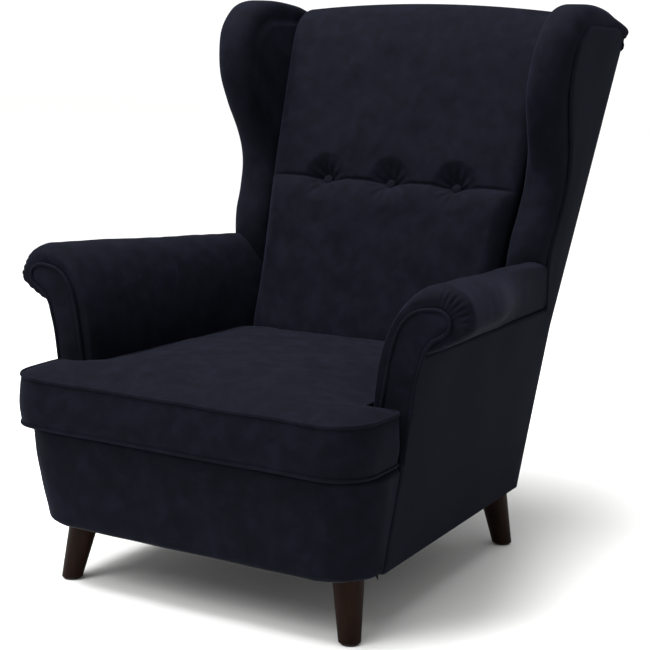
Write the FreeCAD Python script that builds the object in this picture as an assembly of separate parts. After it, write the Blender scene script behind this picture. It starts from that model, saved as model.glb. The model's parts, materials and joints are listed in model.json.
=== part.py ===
"""Wing-back armchair with a loose T-shaped seat cushion.

Millimetres. Origin at the centre of the floor footprint, +Z up, the front faces -Y.
Left is the sitter's left, which is +X.
"""
import FreeCAD, Part
import math
import os
from FreeCAD import Vector

# Driving dimensions
leg_height = 114.0            # floor to the underside of the base
base_half_width = 321.0       # at the arm fronts, at the underside of the base
side_flare = 0.100            # outward lean of the sides, per millimetre of height
side_taper = 0.040            # inward taper of the sides, per millimetre towards the back
arm_front_y = -310.0          # plane of the scroll boards' front faces
base_front_y = -430.0         # front of the apron at its lower edge
front_flare = 0.115           # forward lean of the apron
base_corner_radius = 90.0
rear_bottom_y = 228.0         # rear line of the back, at three heights
rear_knee_y = 288.0
rear_knee_z = 417.0
rear_top_y = 477.5
rear_top_z = 945.0
crest_z = 1008.0              # top of the back cushion at its centre
crest_drop = 24.0             # how far the crest has dropped at the wings
deck_z = 288.0                # top of the seat deck

# Materials and clearances
cloth = 2.0
panel_board = 4.0
apron_padding = 10.0
rail_thickness = 28.0
rail_height = 130.0
post_width = 50.0
post_depth = 32.0
frame_inset = 12.0            # side of the frame behind the outer side surface
corner_block_width = 84.0
corner_block_margin = 10.0    # behind the front leg
tacking_rail_lift = 40.0      # above the seat deck
tacking_rail_height = 60.0
top_rail_height = 65.0
apron_seam_foot = 35.0        # seam between apron and side panel, ahead of the arm fronts
apron_seam_head = 13.0
panel_front_step = 2.0        # side panel's front edge ahead of the arm front, at the piping
dust_cover_thickness = 1.5
dust_cover_inset = 3.0
part_gap = 1.0                # between soft parts that lie side by side
body_gap = 5.5                # between the loose cushion's cover and what it sits in

# Seat cushion
cushion_height = 86.0         # from lower to upper piping
cushion_front_y = -473.0
cushion_ear_half_width = 338.0
cushion_corner_radius = 68.0
cushion_crown = 34.0
crown_run = 60.0
piping_radius = 3.0
piping_stand_off = 1.5        # piping centre outside the cover
zip_half_length = 200.0
zip_channel_height = 16.0
zip_channel_depth = 7.0
zip_chain_height = 6.0

# Arms: each section is a vertical inner face, a slope and a round roll
seat_half_width_front = 275.0  # between the arms, at the scroll boards
seat_half_width_rear = 244.0   # between the arms, at the arm's rear section
arm_rear_section_y = 330.0
roll_centre_x_front = 386.0
roll_centre_x_rear = 320.0
roll_radius_front = 59.0
roll_radius_rear = 45.0
arm_top_front = 576.0
arm_top_rear = 540.0
arm_bend_radius = 40.0        # between the upright inner face and the slope
arm_slope_share = 0.80        # corner radii of the roll, as shares of its own radius
arm_top_share = 0.98
arm_under_share = 0.90
arm_rail_x_front = 352.0
arm_rail_x_rear = 330.0
arm_rail_top_front = 522.0
arm_rail_top_rear = 490.0
arm_rail_half_width = 27.0
arm_rail_height = 22.0
arm_post_depth = 70.0
facing_thickness = 10.0
facing_roll_radius = 31.0
facing_roll_x = 377.0
facing_drop = 31.0            # scroll facing's top below the arm's top
facing_inner_margin = 22.0    # arm roll left showing inside the facing
facing_foot_lean = 8.0        # its inner edge leans outwards by this below the piping
facing_slope_run = 30.0       # and by this above it
facing_slope_radius = 36.0
facing_top_radius = 30.0
facing_neck_radius = 24.0
scroll_board_thickness = 18.0
scroll_board_margin = 6.0

# Wings
wing_thickness = 84.0
wing_board_thickness = 16.0
wing_board_inset = 36.0       # behind the outer side surface
wing_board_margin = 30.0      # inside the wing's outline
wing_foot_z = 450.0           # inside the arm
wing_front_y = 198.0          # front edge just above the arm
wing_front_z = 575.0
wing_waist_y = 243.0
wing_waist_z = 693.0
wing_ear_y = 183.0
wing_ear_z = 850.0
wing_seam_margin = 18.0       # front roll outside the side panel
wing_top_front = 32.0         # where the level top starts, behind the ear
wing_top_rear = 150.0         # and where it ends
wing_rear_rise = 8.0          # above the top of the back rails, at the rear corner

# Back cushion
back_face_foot_y = 134.0      # upright foot of the face, behind the seat cushion
back_face_bend_z = 378.0
seam_y = 240.0                # face at the seam between the two panels
seam_z = 667.0
face_top_y = 371.0
crest_depth = 72.0
crest_front_radius = 40.0
crest_rear_radius = 50.0
button_spacing = 140.0
button_radius = 12.0
button_height = 8.0
button_sink = 14.0
tuft_radius = 34.0
button_tie_radius = 1.5
button_rounding = 0.4         # of the button's height
webbing_width = 50.0
webbing_thickness = 2.0

# Legs, given at the underside of the base and at the floor
leg_top_radius = 27.0
leg_foot_radius = 18.0
front_leg_top = (263.0, -352.0)
rear_leg_inset = (42.0, 22.0)  # from the side line and from the rear line
leg_splay = (17.0, 20.0)
glide_height = 4.0
glide_margin = 4.0
bolt_radius = 4.0
bolt_in_leg = 40.0
bolt_in_frame = 45.0
nut_radius = 6.5
nut_height = 20.0
thread_gap = 0.2

# Seat springs
spring_count = 5
spring_spacing = 95.0
spring_wire_radius = 1.9
spring_half_width = 24.0
spring_pitch = 27.0
spring_lift = 4.0             # wire centre above the rails
clip_size = (14.0, 22.0, 2.0)
insulator_thickness = 1.5

REACH = 1300.0                # larger than the chair, for cutting shapes

base_z = leg_height
rail_top = base_z + rail_height
cushion_z = deck_z + part_gap
piping_z = cushion_z + cushion_height
facing_front_y = arm_front_y - facing_thickness
arm_bottom_z = rail_top


def side_x(y, z, inset=0.0):
    """Half width of the outer side surface."""
    lean = side_flare * (z - base_z)
    taper = side_taper * (y - arm_front_y)
    return base_half_width + lean - taper - inset


def rear_y(z, inset=0.0):
    """Rear line of the back, as two straight runs."""
    if z <= rear_knee_z:
        slope = (rear_knee_y - rear_bottom_y) / (rear_knee_z - base_z)
        return rear_knee_y + slope * (z - rear_knee_z) - inset
    slope = (rear_top_y - rear_knee_y) / (rear_top_z - rear_knee_z)
    return rear_knee_y + slope * (z - rear_knee_z) - inset


def seat_half_width(y):
    """Distance from the centre to an arm's upright inner face."""
    share = (y - arm_front_y) / (arm_rear_section_y - arm_front_y)
    return seat_half_width_front + share * (seat_half_width_rear - seat_half_width_front)


def face_y(z):
    """Face of the back cushion above its upright foot."""
    if z <= seam_z:
        share = (z - back_face_bend_z) / (seam_z - back_face_bend_z)
        return back_face_foot_y + share * (seam_y - back_face_foot_y)
    share = (z - seam_z) / (crest_z - seam_z)
    return seam_y + share * (face_top_y - seam_y)


# Shape helpers

def rounded_wire(points, radii):
    """Closed wire of straight runs joined by tangent arcs."""
    starts, middles, ends = [], [], []
    for index, corner in enumerate(points):
        radius = radii[index]
        if radius == 0:
            starts.append(corner)
            middles.append(None)
            ends.append(corner)
            continue
        back = (points[index - 1] - corner).normalize()
        ahead = (points[(index + 1) % len(points)] - corner).normalize()
        half_angle = back.getAngle(ahead) / 2
        bisector = (back + ahead).normalize()
        run = radius / math.tan(half_angle)
        starts.append(corner + back * run)
        middles.append(corner + bisector * (radius / math.sin(half_angle) - radius))
        ends.append(corner + ahead * run)
    edges = []
    for index in range(len(points)):
        if middles[index] is not None:
            edges.append(Part.Arc(starts[index], middles[index], ends[index]).toShape())
        following = starts[(index + 1) % len(points)]
        if (following - ends[index]).Length > 1e-6:
            edges.append(Part.LineSegment(ends[index], following).toShape())
    return Part.Wire(edges)


def yz_wire(outline, x):
    """Wire in a plane of constant x from rows of y, z and corner radius."""
    points = [Vector(x, row[0], row[1]) for row in outline]
    return rounded_wire(points, [row[2] for row in outline])


def prism_x(outline, start=-REACH, end=REACH, shrink=0.0):
    """Outline of y, z and corner radius, extruded along x."""
    face = Part.Face(yz_wire(outline, start))
    if shrink:
        face = face.makeOffset2D(-shrink)
    return face.extrude(Vector(end - start, 0, 0))


def loft(first, second):
    return Part.makeLoft([first, second], True, True)


def box(low, high):
    size = [high[axis] - low[axis] for axis in range(3)]
    return Part.makeBox(size[0], size[1], size[2], Vector(*low))


def side_quad(inset, sign):
    """Corners of an outer side surface, moved inwards by the inset."""
    corners = [(-REACH, -REACH), (REACH, -REACH), (REACH, REACH), (-REACH, REACH)]
    points = [Vector(sign * side_x(y, z, inset), y, z) for y, z in corners]
    return Part.makePolygon(points + [points[0]])


def side_slab(outer_inset, inner_inset):
    """Layer parallel to the +X side surface."""
    return loft(side_quad(inner_inset, 1), side_quad(outer_inset, 1))


def between_sides(inset):
    """Everything between the two side surfaces, both moved inwards."""
    return loft(side_quad(inset, -1), side_quad(inset, 1))


def rear_band(outer_inset, inner_inset, low_z, high_z):
    """Layer that follows the rear line between two heights."""
    heights = [low_z] + [rear_knee_z] * (low_z < rear_knee_z < high_z) + [high_z]
    outline = [(rear_y(z, outer_inset), z, 0) for z in heights]
    outline += [(rear_y(z, inner_inset), z, 0) for z in reversed(heights)]
    return prism_x(outline)


def base_wire(z, inset):
    """Plan of the base at one height: square behind, rounded at the front corners."""
    front = base_front_y - front_flare * (z - base_z) + inset
    rear = rear_y(z, inset)
    points = [
        Vector(-side_x(rear, z, inset), rear, z),
        Vector(-side_x(front, z, inset), front, z),
        Vector(side_x(front, z, inset), front, z),
        Vector(side_x(rear, z, inset), rear, z),
    ]
    corner = base_corner_radius - inset
    return rounded_wire(points, [0, corner, corner, 0])


def base_form(low_z, high_z, inset):
    return loft(base_wire(low_z, inset), base_wire(high_z, inset))


def mirrored(shape):
    return shape.mirror(Vector(0, 0, 0), Vector(1, 0, 0))


nodes = {}


def add(name, shape):
    nodes[name] = shape


def add_pair(name, shape):
    """A piece on the sitter's left and its mirror image on the right."""
    nodes[name + "_left"] = shape
    nodes[name + "_right"] = mirrored(shape)


# Legs: splayed tapered turnings with glides, bolts and nuts

def leg_positions():
    """Top and foot centres of the four legs."""
    rear_y_top = rear_y(base_z, rear_leg_inset[1])
    rear_x_top = side_x(rear_y_top, base_z, rear_leg_inset[0])
    places = []
    for name, x, y, out in (
        ("front", front_leg_top[0], front_leg_top[1], -1),
        ("rear", rear_x_top, rear_y_top, 1),
    ):
        for side, sign in (("left", 1), ("right", -1)):
            top = Vector(sign * x, y, base_z)
            foot = Vector(sign * (x + leg_splay[0]), y + out * leg_splay[1], 0)
            places.append((name + "_" + side, top, foot))
    return places


def leg_section(top, foot, z, margin=0.0):
    """Circle of the leg's taper at one height."""
    share = z / base_z
    centre = foot + (top - foot) * share
    radius = leg_foot_radius + share * (leg_top_radius - leg_foot_radius) - margin
    circle = Part.makeCircle(radius, Vector(centre.x, centre.y, z))
    return Part.Wire([circle])


def make_legs():
    bolts, nuts, holes, glides = [], [], [], []
    for name, top, foot in leg_positions():
        bolt_foot = Vector(top.x, top.y, base_z - bolt_in_leg)
        bolt = Part.makeCylinder(bolt_radius, bolt_in_leg + bolt_in_frame, bolt_foot)
        bore = Part.makeCylinder(bolt_radius + thread_gap, bolt_in_leg + bolt_in_frame, bolt_foot)
        nut_foot = Vector(top.x, top.y, base_z)
        nut = Part.makeCylinder(nut_radius, nut_height, nut_foot)
        leg = loft(leg_section(top, foot, glide_height), leg_section(top, foot, base_z))
        add("leg_" + name, leg.cut(bore))
        bolts.append(bolt)
        nuts.append(nut.cut(bore))
        holes.append(bore.fuse(nut))
        glides.append(loft(leg_section(top, foot, 0, glide_margin),
                           leg_section(top, foot, glide_height, glide_margin)))
    add("leg_bolts", Part.makeCompound(bolts))
    add("leg_insert_nuts", Part.makeCompound(nuts))
    add("leg_glides", Part.makeCompound(glides))
    return Part.makeCompound(holes)


# Hardwood base

block_x = side_x(arm_front_y, base_z, frame_inset) - corner_block_width
block_y = front_leg_top[1] + leg_top_radius + corner_block_margin


def make_base(leg_holes):
    core = base_form(base_z, rail_top, frame_inset)
    hollow = base_form(base_z, rail_top, frame_inset + rail_thickness)
    block = core.common(box((block_x, -REACH, 0), (REACH, block_y, REACH)))
    add_pair("front_corner_block", block.cut(leg_holes))
    front = core.cut(hollow).common(box((-block_x, -REACH, 0), (block_x, 0, REACH)))
    add("front_rail", front)
    outline = [
        (block_y, base_z, 0),
        (block_y, rail_top, 0),
        (rear_y(rail_top, post_depth + panel_board), rail_top, 0),
        (rear_y(base_z, post_depth + panel_board), base_z, 0),
    ]
    add_pair("side_rail", side_slab(frame_inset, frame_inset + rail_thickness).common(prism_x(outline)))
    inner = frame_inset + post_width
    rear = rear_band(panel_board, panel_board + rail_thickness, base_z, rail_top)
    add("base_back_rail", rear.common(between_sides(inner)))
    post = rear_band(panel_board, panel_board + post_depth, base_z, rear_top_z)
    post = post.common(side_slab(frame_inset, inner)).cut(leg_holes)
    add_pair("back_post", post)
    tacking_low = deck_z + tacking_rail_lift
    for name, low, high in (
        ("back_tacking_rail", tacking_low, tacking_low + tacking_rail_height),
        ("back_top_rail", rear_top_z - top_rail_height, rear_top_z),
    ):
        rail = rear_band(panel_board, panel_board + rail_thickness, low, high)
        add(name, rail.common(between_sides(inner)))


# Arms

def arm_roll(y):
    """Centre and radius of an arm's roll at one depth."""
    share = (y - arm_front_y) / (arm_rear_section_y - arm_front_y)
    centre_x = roll_centre_x_front + share * (roll_centre_x_rear - roll_centre_x_front)
    radius = roll_radius_front + share * (roll_radius_rear - roll_radius_front)
    centre_z = arm_top_front + share * (arm_top_rear - arm_top_front) - radius
    return centre_x, centre_z, radius


def neck_height(y):
    """Height at which the roll overhangs the side panel."""
    centre_x, centre_z, radius = arm_roll(y)
    return centre_z - radius


def arm_section(y, shrink):
    """Section of an arm, with its upright inner face, slope, roll and outer side."""
    centre_x, centre_z, full_radius = arm_roll(y)
    radius = full_radius - shrink
    inner = seat_half_width(y) + shrink
    bottom = arm_bottom_z
    neck_z = centre_z - radius
    outer_inset = panel_board + shrink
    rows = [
        (inner, bottom, 0),
        (inner, piping_z, arm_bend_radius),
        (centre_x - radius, centre_z + radius, radius * arm_slope_share),
        (centre_x + radius, centre_z + radius, radius * arm_top_share),
        (centre_x + radius, neck_z, radius * arm_under_share),
        (side_x(y, neck_z, outer_inset), neck_z, 0),
        (side_x(y, bottom, outer_inset), bottom, 0),
    ]
    points = [Vector(x, y, z) for x, z, radius in rows]
    return rounded_wire(points, [row[2] for row in rows])


def arm_form(shrink):
    """An arm whose roll overhangs the side only as far back as the wing's seam."""
    whole = loft(arm_section(arm_front_y, shrink), arm_section(arm_rear_section_y, shrink))
    roll_end = wing_front_y + wing_seam_margin - shrink
    ahead = whole.common(box((-REACH, -REACH, 0), (REACH, roll_end, REACH)))
    return ahead.fuse(whole.common(between_sides(panel_board + shrink))).removeSplitter()


def facing_rows():
    """Outline of the scroll facing as x, z and corner radius."""
    top = arm_top_front - facing_drop
    inner = seat_half_width_front + facing_inner_margin
    outer = facing_roll_x + facing_roll_radius
    neck_z = top - 2 * facing_roll_radius
    return [
        (inner - facing_foot_lean, deck_z + part_gap, 0),
        (inner, piping_z, 0),
        (inner + facing_slope_run, top, facing_slope_radius),
        (outer, top, facing_top_radius),
        (outer, neck_z, facing_neck_radius),
        (side_x(arm_front_y, neck_z), neck_z, 0),
        (side_x(arm_front_y, deck_z), deck_z + part_gap, 0),
    ]


def facing_prism(front, back, shrink):
    rows = facing_rows()
    points = [Vector(x, front, z) for x, z, radius in rows]
    face = Part.Face(rounded_wire(points, [row[2] for row in rows]))
    if shrink:
        face = face.makeOffset2D(-shrink)
    return face.extrude(Vector(0, back - front, 0))


def arm_rail_wire(y, centre_x, top_z):
    """Rectangle of the arm rail, as a closed wire."""
    low_x, high_x = centre_x - arm_rail_half_width, centre_x + arm_rail_half_width
    low_z = top_z - arm_rail_height
    corners = [(low_x, low_z), (high_x, low_z), (high_x, top_z), (low_x, top_z)]
    points = [Vector(x, y, z) for x, z in corners]
    return Part.makePolygon(points + [points[0]])


def under_rail_wire(y, top_z):
    """The space from the base up to the arm rail's underside, as a closed wire."""
    high_z = top_z - arm_rail_height
    corners = [(0, base_z), (REACH, base_z), (REACH, high_z), (0, high_z)]
    points = [Vector(x, y, z) for x, z in corners]
    return Part.makePolygon(points + [points[0]])


def in_front_of_posts():
    """Everything ahead of the back posts' front faces."""
    heights = (0, rear_knee_z, REACH)
    outline = [(-REACH, 0, 0), (-REACH, REACH, 0)]
    outline += [(rear_y(z, panel_board + post_depth), z, 0) for z in reversed(heights)]
    return prism_x(outline)


def make_arms():
    board_back = arm_front_y + scroll_board_thickness
    board = facing_prism(arm_front_y, board_back, scroll_board_margin)
    rail = loft(arm_rail_wire(board_back, arm_rail_x_front, arm_rail_top_front),
                arm_rail_wire(arm_rear_section_y, arm_rail_x_rear, arm_rail_top_rear))
    rail = rail.common(in_front_of_posts()).common(between_sides(frame_inset))
    below = loft(under_rail_wire(board_back, arm_rail_top_front),
                 under_rail_wire(arm_rear_section_y, arm_rail_top_rear))
    post_box = box((-REACH, board_back, rail_top), (REACH, board_back + arm_post_depth, REACH))
    post = side_slab(frame_inset, frame_inset + rail_thickness).common(post_box).common(below)
    add_pair("scroll_board", board)
    add_pair("arm_rail", rail)
    add_pair("arm_post", post)
    add_pair("arm_facing", facing_prism(facing_front_y, arm_front_y, 0))
    return [board, rail, post]


# Wings and side panels

def wing_rows(margin=0.0):
    """Outline of a wing as y, z and corner radius, from the arm up and over to the rear."""
    top = crest_z - margin
    return [
        (wing_front_y + margin, wing_foot_z, 0),
        (wing_front_y + margin, wing_front_z, 100),
        (wing_waist_y + margin, wing_waist_z, 140),
        (wing_ear_y + margin, wing_ear_z, 150),
        (wing_ear_y + wing_top_front + margin, top, 90),
        (wing_ear_y + wing_top_rear, top, 120),
        (rear_y(rear_top_z), rear_top_z + wing_rear_rise - margin, 0),
        (rear_knee_y, rear_knee_z, 0),
    ]


def make_sides(arm_frame):
    arm = arm_form(0)
    panel_rows = [
        (arm_front_y - apron_seam_foot, base_z, 0),
        (arm_front_y - panel_front_step, piping_z, 0),
        (arm_front_y, neck_height(arm_front_y), 0),
        (wing_front_y + wing_seam_margin, neck_height(wing_front_y + wing_seam_margin), 0),
    ]
    panel_rows += wing_rows(wing_seam_margin)[1:] + [(rear_bottom_y, base_z, 0)]
    panel = side_slab(0, panel_board).common(prism_x(panel_rows))
    front_limit = [(arm_front_y, 0, 0), (arm_front_y, REACH, 0), (REACH, REACH, 0), (REACH, 0, 0)]
    panel_upper = panel.common(prism_x(front_limit))
    panel_lower = panel.cut(prism_x(front_limit)).cut(facing_prism(facing_front_y, arm_front_y, 0))
    panel = panel_upper.fuse(panel_lower).removeSplitter()
    add_pair("side_panel", panel)

    ahead = in_front_of_posts()
    board = side_slab(wing_board_inset, wing_board_inset + wing_board_thickness)
    board = board.common(prism_x(wing_rows(), shrink=wing_board_margin)).common(ahead)
    for piece in arm_frame:
        board = board.cut(piece)
    add_pair("wing_board", board)

    form = side_slab(0, wing_thickness).common(prism_x(wing_rows()))
    core = side_slab(cloth, wing_thickness - cloth).common(prism_x(wing_rows(), shrink=cloth))
    panel_space = side_slab(-REACH / 4, panel_board).common(prism_x(panel_rows))
    back_space = rear_band(-REACH / 4, panel_board + post_depth, base_z, rear_top_z)
    cover = form.cut(core).cut(arm).cut(panel_space).cut(back_space)
    foam = core.cut(arm).cut(panel_space).cut(board).cut(back_space)
    add_pair("wing_cover", cover)
    add_pair("wing_foam", foam)

    arm_core = arm_form(cloth)
    arm_cover = arm.cut(arm_core).common(ahead)
    arm_foam = arm_core.common(ahead)
    for piece in arm_frame + [board, panel]:
        arm_foam = arm_foam.cut(piece)
        arm_cover = arm_cover.cut(piece)
    add_pair("arm_cover", arm_cover)
    add_pair("arm_foam", arm_foam)


# Apron, deck and underside

def apron_region():
    """Everything ahead of the seam between the apron and the side panels."""
    foot, head = arm_front_y - apron_seam_foot, arm_front_y - apron_seam_head
    return prism_x([(-REACH, base_z, 0), (foot, base_z, 0), (head, deck_z, 0), (-REACH, deck_z, 0)])


def tee_space(z_low, z_high, gap):
    """The space between the arms and in front of them."""
    front_edge = facing_front_y - gap
    rear_edge = rear_y(z_low, panel_board + post_depth + webbing_thickness * 2 + gap)
    half_front = seat_half_width(arm_front_y) - gap
    half_rear = seat_half_width(rear_edge) - gap
    corners = [(-REACH, -REACH), (REACH, -REACH), (REACH, front_edge), (half_front, front_edge),
               (half_rear, rear_edge), (-half_rear, rear_edge), (-half_front, front_edge),
               (-REACH, front_edge)]
    points = [Vector(x, y, z_low) for x, y in corners]
    face = Part.Face(Part.makePolygon(points + [points[0]]))
    return face.extrude(Vector(0, 0, z_high - z_low))


def make_soft_base():
    region = apron_region()
    padding = frame_inset - apron_padding
    outer = base_form(base_z, deck_z, 0)
    under_cloth = base_form(base_z, deck_z, padding)
    add("apron_cover", outer.cut(under_cloth).common(region))
    band = base_form(base_z, deck_z - cloth, padding).cut(base_form(base_z, deck_z - cloth, frame_inset))
    add("apron_padding", band.common(region))
    pad_z = rail_top + 2 * spring_lift + 2 * insulator_thickness
    pad = base_form(pad_z, deck_z - cloth, frame_inset).common(tee_space(pad_z, deck_z, part_gap))
    add("seat_deck_pad", pad)
    deck = base_form(deck_z - cloth, deck_z, padding).common(tee_space(deck_z - cloth, deck_z, part_gap))
    add("seat_deck_cloth", deck)
    sheet_z = pad_z - insulator_thickness
    sheet = base_form(sheet_z, pad_z, frame_inset + 4).common(tee_space(sheet_z, pad_z, part_gap))
    add("spring_insulator", sheet)
    dust = base_form(base_z - dust_cover_thickness, base_z, dust_cover_inset)
    for name, top, foot in leg_positions():
        dust = dust.cut(Part.makeCylinder(leg_top_radius + 2, 10, Vector(top.x, top.y, base_z - 5)))
    add("dust_cover", dust)


# Seat springs and their clips

def spring_path(x, front, rear, z):
    """Flat snaking wire from the front rail to the back rail."""
    half_turns = int((rear - front) // spring_pitch)
    pitch = (rear - front) / half_turns
    radius = pitch / 2
    reach = spring_half_width - radius
    edges = []
    y = front
    start = Vector(x, y, z)
    sign = 1
    for turn in range(half_turns):
        side = Vector(x + sign * reach, y, z)
        edges.append(Part.LineSegment(start, side).toShape())
        far = Vector(x + sign * reach, y + pitch, z)
        bulge = Vector(x + sign * (reach + radius), y + radius, z)
        edges.append(Part.Arc(side, bulge, far).toShape())
        start = far
        y += pitch
        sign = -sign
    edges.append(Part.LineSegment(start, Vector(x, y, z)).toShape())
    return Part.Wire(edges)


def make_springs():
    front = base_front_y + frame_inset + rail_thickness / 2
    rear = rear_y(rail_top, panel_board + rail_thickness / 2)
    z = rail_top + spring_lift
    springs, clips = [], []
    for index in range(spring_count):
        x = (index - (spring_count - 1) / 2) * spring_spacing
        path = spring_path(x, front, rear, z)
        profile = Part.Wire([Part.makeCircle(spring_wire_radius, Vector(x, front, z), Vector(1, 0, 0))])
        wire = path.makePipeShell([profile], True, False)
        springs.append(wire)
        for y in (front, rear):
            low = (x - clip_size[1] / 2, y - clip_size[0] / 2, rail_top)
            high = (x + clip_size[1] / 2, y + clip_size[0] / 2, z + spring_wire_radius + clip_size[2])
            clips.append(box(low, high).cut(wire))
    add("seat_springs", Part.makeCompound(springs))
    add("spring_clips", Part.makeCompound(clips))


# Back cushion, webbing, buttons and outside back

def back_rows():
    """Outline of the back cushion as y, z and corner radius."""
    return [
        (back_face_foot_y, deck_z + part_gap, 0),
        (back_face_foot_y, back_face_bend_z, 60),
        (seam_y, seam_z, 0),
        (face_top_y, crest_z, crest_front_radius),
        (face_top_y + crest_depth, crest_z, crest_rear_radius),
        (rear_y(rear_top_z), rear_top_z + 6, 0),
        (rear_y(rear_top_z, panel_board), rear_top_z + 2, 0),
        (rear_y(rear_knee_z, panel_board), rear_knee_z, 0),
        (rear_y(deck_z, panel_board), deck_z + part_gap, 0),
    ]


def crest_form(shrink):
    """The space under the arched crest."""
    half = side_x(rear_top_y, crest_z)
    crown = Vector(0, -REACH, crest_z - shrink)
    ends = [Vector(sign * half, -REACH, crest_z - crest_drop - shrink) for sign in (-1, 1)]
    low = [Vector(sign * half, -REACH, 0) for sign in (1, -1)]
    edges = [
        Part.Arc(ends[0], crown, ends[1]).toShape(),
        Part.LineSegment(ends[1], low[0]).toShape(),
        Part.LineSegment(low[0], low[1]).toShape(),
        Part.LineSegment(low[1], ends[0]).toShape(),
    ]
    return Part.Face(Part.Wire(edges)).extrude(Vector(0, 2 * REACH, 0))


def make_back():
    side_inset = wing_thickness + part_gap
    behind = rear_band(-REACH / 4, panel_board + post_depth + 2 * webbing_thickness, base_z, rear_top_z + 2)
    form = prism_x(back_rows()).common(between_sides(side_inset)).common(crest_form(0))
    core = prism_x(back_rows(), shrink=cloth).common(between_sides(side_inset + cloth))
    core = core.common(crest_form(cloth)).cut(behind)
    cover = form.cut(core).cut(behind)

    rake = math.atan2(seam_y - back_face_foot_y, seam_z - back_face_bend_z)
    normal = Vector(0, -math.cos(rake), math.sin(rake))
    depth = rear_y(seam_z, panel_board + post_depth + 2 * webbing_thickness) - seam_y - button_sink
    tie_length = depth * math.cos(rake) - part_gap
    for index in range(3):
        x = (index - 1) * button_spacing
        seat = Vector(x, seam_y, seam_z) - normal * button_sink
        tuft = Part.makeCone(button_radius + 1, tuft_radius, button_sink + 4, seat, normal)
        tie_end = seat - normal * tie_length
        tie = Part.makeCylinder(button_tie_radius, tie_length, tie_end, normal)
        tie_hole = Part.makeCylinder(button_tie_radius, REACH, seat - normal * REACH, normal)
        core = core.cut(tuft).cut(tie_hole)
        cover = cover.cut(tuft).cut(tie_hole)
        disc = Part.makeCylinder(button_radius, button_height, seat, normal)
        rim = [edge for edge in disc.Edges if (edge.CenterOfMass - seat).dot(normal) > button_height / 2]
        button = disc.makeFillet(button_height * button_rounding, rim)
        add("back_button_%d" % (index + 1), button)
        ties = tie if index == 0 else ties.fuse(tie)
    add("button_ties", Part.makeCompound(ties.Solids))
    add("back_foam", core)
    above = box((-REACH, -REACH, seam_z), (REACH, REACH, REACH))
    add("back_cover_upper", cover.common(above))
    add("back_cover_lower", cover.cut(above))
    outside = rear_band(0, panel_board, base_z, rear_top_z).common(between_sides(panel_board))
    add("outside_back", outside)

    inner = panel_board + post_depth
    straps = []
    low, high = deck_z + 20, rear_top_z - 20
    for share in (0.1, 0.3, 0.5, 0.7, 0.9):
        z = low + share * (high - low)
        strap = rear_band(inner, inner + webbing_thickness, z - webbing_width / 2, z + webbing_width / 2)
        straps.append(strap.common(between_sides(frame_inset)))
    for x in (-120.0, 0.0, 120.0):
        strap = rear_band(inner + webbing_thickness, inner + 2 * webbing_thickness, low, high)
        strap = strap.common(box((x - webbing_width / 2, -REACH, 0), (x + webbing_width / 2, REACH, REACH)))
        straps.append(strap)
    webbing = straps[0]
    for strap in straps[1:]:
        webbing = webbing.fuse(strap)
    wings_out = between_sides(wing_thickness)
    add("back_webbing", webbing.common(wings_out))


# Loose seat cushion

def cushion_wire(z, inset):
    """T-shaped plan of the seat cushion."""
    ear_y = facing_front_y - body_gap - piping_radius - inset
    front = cushion_front_y + inset
    rear = back_face_foot_y - body_gap - inset
    half_front = seat_half_width(arm_front_y) - body_gap - inset
    half_rear = seat_half_width(rear) - body_gap - inset
    ear_x = cushion_ear_half_width - inset
    right = [(half_rear, rear, 24), (half_front, ear_y, 10), (ear_x, ear_y, 14)]
    right.append((ear_x, front, cushion_corner_radius - inset))
    rows = right + [(-x, y, radius) for x, y, radius in reversed(right)]
    points = [Vector(x, y, z) for x, y, radius in rows]
    return rounded_wire(points, [row[2] for row in rows])


def cushion_form(inset):
    body = Part.Face(cushion_wire(cushion_z + inset, inset)).extrude(Vector(0, 0, cushion_height - inset))
    crown = loft(cushion_wire(piping_z, inset), cushion_wire(piping_z + cushion_crown - inset, crown_run))
    rear = back_face_foot_y - body_gap
    zip_z = cushion_z + cushion_height / 2
    half = zip_channel_height / 2 + inset
    channel = box((-zip_half_length - inset, rear - zip_channel_depth - inset, zip_z - half),
                  (zip_half_length + inset, REACH, zip_z + half))
    return body.fuse(crown).removeSplitter().cut(channel)


def cushion_pipe(z):
    """Cord-filled piping round the cushion at one height."""
    path = cushion_wire(z, -piping_stand_off)
    start = path.Edges[0].Vertexes[0].Point
    tangent = path.Edges[0].tangentAt(path.Edges[0].FirstParameter)
    profile = Part.Wire([Part.makeCircle(piping_radius, start, tangent)])
    return path.makePipeShell([profile], True, False)


def make_cushion():
    outer, inner = cushion_form(0), cushion_form(cloth)
    pipes = [cushion_pipe(cushion_z + piping_radius), cushion_pipe(piping_z)]
    rear = back_face_foot_y - body_gap
    zip_z = cushion_z + cushion_height / 2
    floor_y = rear - zip_channel_depth
    half = zip_chain_height / 2
    chain = box((-zip_half_length, floor_y - cloth, zip_z - half), (zip_half_length, floor_y, zip_z + half))
    cover = outer.cut(inner).cut(chain)
    foam = inner
    for pipe in pipes:
        cover = cover.cut(pipe)
        foam = foam.cut(pipe)
    add("cushion_foam", foam)
    add("cushion_cover", cover)
    add("cushion_piping", Part.makeCompound(pipes))
    add("cushion_zip_chain", chain)
    slider_x = zip_half_length - 12
    slider = box((slider_x - 6, floor_y + 0.5, zip_z - 4.5), (slider_x + 6, floor_y + 3.5, zip_z + 4.5))
    pull = box((slider_x - 24, floor_y + 3.5, zip_z - 3), (slider_x + 2, floor_y + 5.0, zip_z + 3))
    add("cushion_zip_slider", slider.fuse(pull))


leg_holes = make_legs()
make_base(leg_holes)
make_sides(make_arms())
make_soft_base()
make_springs()
make_back()
make_cushion()

os.makedirs("parts", exist_ok=True)
for name, shape in nodes.items():
    shape.exportStep("parts/" + name + ".step")
    print("%-26s solids %2d  volume %9.0f  valid %s" % (
        name, len(shape.Solids), shape.Volume, shape.isValid()))
print(len(nodes), "nodes")
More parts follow.
